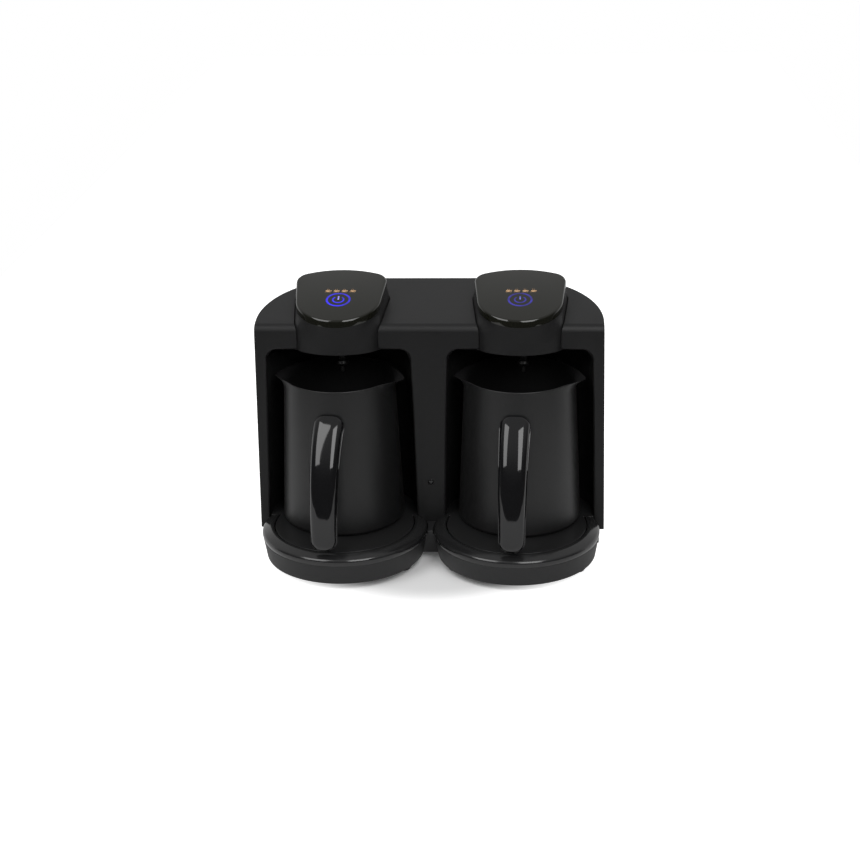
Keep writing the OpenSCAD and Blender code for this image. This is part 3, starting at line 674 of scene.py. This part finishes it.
for side in SIDES:
    ring = bmesh.new()
    flat_arc(ring, ring_inner, key_r, 0, math.tau, 96)
    mark("key_ring", side, ring, ring_light[side], ["light_ring_" + side])
    sign = bmesh.new()
    flat_arc(sign, sign_inner, sign_outer, sign_start, sign_sweep, 48)
    mark("key_arc", side, sign, ring_light[side])
    stroke = bmesh.new()
    flat_bar(stroke, 0, stroke_up, stroke_wide, stroke_long)
    mark("key_stroke", side, stroke, stroke_light[side])

# %% Cup marks
cup_pitch, cup_shift, cup_row = 6.65, 0.5, 14
cup_r = 2.0
saucer_y, saucer_wide, saucer_high = -2.35, 4.6, 0.45
steam_y, steam_wide, steam_high = 1.35, 0.35, 1.1
ear_inner, ear_outer = 0.5, 0.95

def cup_mark(shape, x, y):
    cup = bmesh.new()
    bmesh.ops.create_circle(cup, cap_ends=True, segments=28, radius=cup_r*MM)
    cut_beyond(cup, 0)
    flat_bar(cup, 0, saucer_y, saucer_wide, saucer_high)
    for steam_x in (-0.6, 0.7):
        flat_bar(cup, steam_x, steam_y, steam_wide, steam_high)
    ear = bmesh.new()
    flat_arc(ear, ear_inner, ear_outer, -math.pi/2, math.pi, 12)
    bring(ear, Matrix.Translation((1.9*MM, -0.85*MM, 0)))
    for part in (cup, ear):
        bring(part, Matrix.Translation((x*MM, y*MM, 0)))
        add_to(shape, part)

for side in SIDES:
    marks = bmesh.new()
    for place in (-1.5, -0.5, 0.5, 1.5):
        cup_mark(marks, place*cup_pitch + cup_shift, cup_row)
    mark("cup_marks", side, marks, copper_print)

# %% [markdown]
# ## Sensor probes
#
# Only the tip of a probe is bare metal: a thin steel rod with a round end, held in a dark stem
# with a flange on top. Both are turned parts, so each is one section spun round the probe's axis.

# %% Sensor probes
tip_r, tip_long, tip_round = 1.6, 9, 1.5
stem_r, stem_from, stem_round = 3.2, 8, 0.5
flange_r, flange_thick = 5.2, 2

for side in SIDES:
    low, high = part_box("probe_" + side)
    end, head = low.z/MM, high.z/MM
    tip = [(0, end), (tip_r, end), (tip_r, end + tip_long), (0, end + tip_long)]
    stem = [(0, end + stem_from), (stem_r, end + stem_from), (stem_r, head - flange_thick),
            (flange_r, head - flange_thick), (flange_r, head), (0, head)]
    # The probe tip takes the steel darkened as painted shade.
    for name, worn, points, soft in (("probe_tip", shade_darkened_steel, tip, tip_round),
                                     ("probe_stem", satin_dark, stem, stem_round)):
        shape, corners = section(points)
        round_corners(shape, [corners[1]], soft, 6)
        spin_round(shape, 48)
        bring(shape, Matrix.Translation(((low.x + high.x)/2, (low.y + high.y)/2, 0)))
        finished(name + "_" + side, shape, worn, ["probe_" + side], limit=50)
    print("probe", side, "lower end at", round(end, 1))

# %% [markdown]
# ## Plug in the column
#
# In the column between the bays a small round recess takes a screw. A polished plug with a domed
# end covers it: a section spun round its own axis, then laid forward.

# %% Plug in the column
recess_up = 59.5
plug_r, plug_round, plug_back = 2.2, 0.5, 0.6

shape, corners = section([(0, -0.4), (plug_r, -0.4), (plug_r, 0.35), (0, 0.8)])
round_corners(shape, [corners[2]], plug_round, 4)
spin_round(shape, 32)
laid_forward = Matrix.Rotation(math.pi/2, 4, "X")
bring(shape, Matrix.Translation((0, FRONT + plug_back*MM, recess_up*MM)) @ laid_forward)
print("plug open edges:", len(open_edges(shape)))
finished("column_plug", shape, gloss_black)

# %% [markdown]
# ## Pots
#
# A pot is drawn from sheet: it narrows a little to the rim, has a soft lower corner and a small
# rolled edge, and a spout is pressed outward on each side. Its section is spun closed, with the
# poles merged in the middle of the floor. Rings cut into the uppermost twelve millimetres give
# vertices to pull. The pull fades down the wall and round the rim, so inside and outside move
# together and the wall keeps its thickness, and the rim dips a little towards each spout.

# %% Sizes of the pots
pot_high = 122.3
pot_foot_r = 50.3
pot_rim_r = 44.8
pot_wall = 1.2
foot_ring = 4.5
floor_under = 2
floor_over = 3.2
corner_round = 3
rim_round = 0.55
pot_turn = {"left": -5.5, "right": -4}

def at_pot(side):
    return Matrix.Translation(pot_foot(side)) @ Matrix.Rotation(math.radians(pot_turn[side]), 4, "Z")

# %% Spouts
spout_out = 8.8
spout_drop = 10
spout_dip = 2.6
spout_tip = 0.07
spout_point = 1.35
spout_curl = 2.1
cut_rings = 12

def pull_spouts(shape):
    for k in range(1, cut_rings + 1):
        bmesh.ops.bisect_plane(shape, geom=whole(shape), plane_co=(0, 0, (pot_high - k)*MM),
                               plane_no=(0, 0, 1))
    spread = math.acos(pot_rim_r/(pot_rim_r + spout_out))
    for vert in shape.verts:
        rise = (vert.co.z/MM - pot_high + spout_drop)/spout_drop
        away = math.atan2(abs(vert.co.y), abs(vert.co.x))/spread
        if rise > 0 and away < 1:
            soft = math.hypot(away, spout_tip) - spout_tip
            pull = spout_out*(1 - soft)**spout_point*rise**spout_curl*MM
            out = Vector((vert.co.x, vert.co.y, 0)).normalized()
            vert.co += out*pull
            vert.co.z -= spout_dip*MM*rise**2*(1 - soft)**2

# %% Pot vessels
for side in SIDES:
    lean = (pot_foot_r - pot_rim_r)/pot_high
    shape, corners = section([
        (0, floor_under), (pot_foot_r - foot_ring, floor_under), (pot_foot_r - foot_ring, 0),
        (pot_foot_r, 0), (pot_rim_r, pot_high), (pot_rim_r - pot_wall, pot_high),
        (pot_foot_r - pot_wall - floor_over*lean, floor_over), (0, floor_over)])
    round_corners(shape, [corners[3], corners[6]], corner_round, 5)
    round_corners(shape, [corners[4], corners[5]], rim_round, 3)
    spin_round(shape)
    pull_spouts(shape)
    bring(shape, at_pot(side))
    print("pot", side, "faces:", len(shape.faces), "open edges:", len(open_edges(shape)))
    finished("vessel_" + side, shape, pot_coating, ["pot_vessel_" + side], body="pot_" + side,
             limit=50)

# %% [markdown]
# ## Handles
#
# A handle is two gloss mouldings on one seam: a full, round front half and a flatter rear half
# that stands out a little all round it. Both follow the same bow from the pot's upper wall down to
# the height of its foot. A D-shaped section is extruded along that curve, each time with the
# matrix that takes one station to the next, so the width, the thickness and the rounded end all
# come from it.

# %% Handle curve
bow_points = ((41.0, 99.9), (58.0, 88.4), (80.6, 68.4), (82.1, 2.0))
bow = [Vector((0, -out*MM, up*MM)) for out, up in bow_points]
top_w, foot_w = 24.5, 19.5
neck, neck_in = 0.12, 0.38
tip_share, blunt_end = 0.95, 0.03
long_steps, tip_steps = 44, 8

def seam(t):
    a, b, c, d = bow
    place = a*(1 - t)**3 + 3*b*t*(1 - t)**2 + 3*c*t*t*(1 - t) + d*t**3
    ahead = ((b - a)*(1 - t)**2 + 2*(c - b)*t*(1 - t) + (d - c)*t*t).normalized()
    return place, ahead

def station(t, thick, lip, gap):
    place, ahead = seam(t)
    outward = Vector((0, ahead.z, -ahead.y))
    close = 1
    if t >= tip_share:
        close = math.sqrt(max(blunt_end, 1 - ((t - tip_share)/(1 - tip_share))**2))
    draw_in = 1 if t > neck else 1 - neck_in*(1 - t/neck)**2
    half = ((top_w + (foot_w - top_w)*t)/2 + lip)*close*draw_in*MM
    place = place + outward*gap*MM
    columns = (Vector((half, 0, 0)), outward*thick*close*MM, ahead, place)
    return Matrix([[c[row] for c in columns] for row in range(3)] + [[0, 0, 0, 1]])

stations = [tip_share*k/long_steps for k in range(long_steps + 1)]
for k in range(1, tip_steps + 1):
    stations.append(tip_share + (1 - tip_share)*math.sin(math.pi/2*k/tip_steps))
print("stations on a handle:", len(stations), "its foot in mm:", in_mm(bow[-1]))

# %% Handle halves
pot_clearance = 2.6
seam_round = 0.05

def handle_half(name, side, stands_for, thick, lip, gap, share, roundness):
    shape = bmesh.new()
    corners = [shape.verts.new(p) for p in ((-1, 0, 0), (1, 0, 0), (1, 1, 0), (-1, 1, 0))]
    shape.faces.new(corners)
    for pair, offset, segments in ((corners[2:], roundness, 9), (corners[:2], seam_round, 2)):
        bmesh.ops.bevel(shape, geom=pair, offset=offset, affect="VERTICES", segments=segments,
                        profile=0.5, material=-1)
    frames = [station(t*share, thick, lip, gap) for t in stations]
    bring(shape, frames[0])
    rim = shape.edges[:]
    for this, following in zip(frames, frames[1:]):
        made = bmesh.ops.extrude_edge_only(shape, edges=rim)["geom"]
        fresh = [g for g in made if isinstance(g, bmesh.types.BMVert)]
        rim = [g for g in made if isinstance(g, bmesh.types.BMEdge) and all(v in fresh for v in g.verts)]
        bmesh.ops.transform(shape, matrix=following @ this.inverted(), verts=fresh)
    bmesh.ops.contextual_create(shape, geom=rim)
    cut_beyond(shape, -(pot_rim_r + pot_clearance)*MM)
    bmesh.ops.holes_fill(shape, edges=open_edges(shape))
    face_outwards(shape)
    bring(shape, at_pot(side))
    print(name, side, "faces:", len(shape.faces), "open edges:", len(open_edges(shape)))
    finished(name + "_" + side, shape, gloss_black, [stands_for + "_" + side],
             body="pot_" + side, limit=40)

for side in SIDES:
    handle_half("grip", side, "handle_grip",
                thick=6.5, lip=0, gap=0.05, share=0.996, roundness=0.75)
    handle_half("grip_back", side, "handle_liner",
                thick=-3.5, lip=0.8, gap=0, share=1, roundness=0.5)

# %% [markdown]
# ## Floor and light
#
# A pale floor runs on behind the object. It reads as white to the camera, but close to the object
# its glow fades, and that fade is painted shade, which deepens the real soft shadow there. It ends
# half a metre in front of the middle, because a black gloss edge that faces the room has to mirror
# a dark room and not a pale floor. The world is a studio: a white backdrop behind the object, a dim
# ceiling, and a dark room on the camera's side. Two large leaning softboxes in front draw the
# streaks on the handles.

# %% Floor
floor_half_wide = 0.6
floor_half_long = 1.5
floor_front = -0.5

floor_mesh = bpy.data.meshes.new("floor")
ground = bmesh.new()
bmesh.ops.create_grid(ground, x_segments=1, y_segments=1, size=1)
bring(ground, Matrix.Diagonal((floor_half_wide, floor_half_long, 1, 1)))
bring(ground, Matrix.Translation((0, floor_front + floor_half_long, 0)))
ground.to_mesh(floor_mesh)
ground.free()
floor = bpy.data.objects.new("floor", floor_mesh)
bpy.context.scene.collection.objects.link(floor)
floor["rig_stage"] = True
print("floor in m: from", floor_front, "to", floor_front + 2*floor_half_long)

# %% Finish of the floor
glow_starts = 0.08
glow_full = 0.135
painted_shade_glow = 0.06
far_glow = 0.9
mirrored_glow = 0.1

def ramp(tree, source, low, high, from_value, to_value):
    made = add_node(tree, "MapRange", {
        "Value": source, "From Min": low, "From Max": high, "To Min": from_value,
        "To Max": to_value}, interpolation_type="SMOOTHSTEP")
    return made.outputs["Result"]

pale, tree, shader = new_material("pale_floor")
place = add_node(tree, "TexCoord", {})
away = add_node(tree, "VectorMath", {0: place.outputs["Object"]}, operation="LENGTH")
# The glow fades towards the object: painted shade round its foot, on top of the real shadow.
painted_shade_fade = ramp(tree, away.outputs["Value"], glow_starts, glow_full, painted_shade_glow, far_glow)
rays = add_node(tree, "LightPath", {})
seen = add_node(tree, "Math", {0: rays.outputs["Is Camera Ray"], 1: painted_shade_fade}, operation="MULTIPLY")
mirrored = add_node(tree, "Math", {
    0: rays.outputs["Is Glossy Ray"], 1: mirrored_glow, 2: seen.outputs["Value"]},
    operation="MULTIPLY_ADD")
fill(tree, shader, {
    "Base Color": (0.7, 0.7, 0.7, 1), "Roughness": 0.7, "Emission Color": (1, 1, 1, 1),
    "Emission Strength": mirrored.outputs["Value"]})
floor_mesh.materials.append(pale)
print("floor finish:", pale.name)

# %% World
dark_room, dim_ceiling = 0.08, 0.45
white_wall, upper_wall = 1.0, 0.52

world = bpy.data.worlds.new("studio")
bpy.context.scene.world = world
world.use_nodes = True
air = world.node_tree

def blend(share, first, second):
    return add_node(air, "Mix", {"Factor": share, "A": first, "B": second}).outputs["Result"]

direction = add_node(air, "TexCoord", {})
parts = add_node(air, "SeparateXYZ", {"Vector": direction.outputs["Generated"]})
room = ramp(air, parts.outputs["Z"], 0.2, 0.95, dark_room, dim_ceiling)
wall_behind = ramp(air, parts.outputs["Z"], 0.05, 0.6, white_wall, upper_wall)
around = blend(ramp(air, parts.outputs["Y"], 0.0, 0.35, 0, 1), room, wall_behind)
rays = add_node(air, "LightPath", {})
fill(air, air.nodes["Background"], {
    "Color": (1, 1, 1, 1), "Strength": blend(rays.outputs["Is Camera Ray"], around, 1.0)})
print("world nodes:", len(air.nodes))

# %% Lights
def softbox(name, place, target, width, height, roll, power):
    lamp = bpy.data.lights.new(name, "AREA")
    lamp.shape = "RECTANGLE"
    lamp.size = width
    lamp.size_y = height
    lamp.energy = power
    stand = bpy.data.objects.new(name, lamp)
    stand.location = place
    aimed = (Vector(target) - Vector(place)).to_track_quat("-Z", "Y")
    stand.rotation_euler = (aimed @ Quaternion((0, 0, 1), math.radians(roll))).to_euler()
    bpy.context.scene.collection.objects.link(stand)
    print(name, "power in W:", power)

softbox("left_softbox", place=(-0.86, -0.76, 1.3), target=(-0.05, -0.08, 0.1), width=0.8, height=1.4,
        roll=26, power=13.5)
softbox("right_softbox", place=(0.5, -1.02, 1.3), target=(0.05, -0.08, 0.1), width=0.75, height=1.4,
        roll=-12, power=15)
bpy.context.scene.view_settings.view_transform = "Standard"

# %% Measure the bounds of the object
low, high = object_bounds()
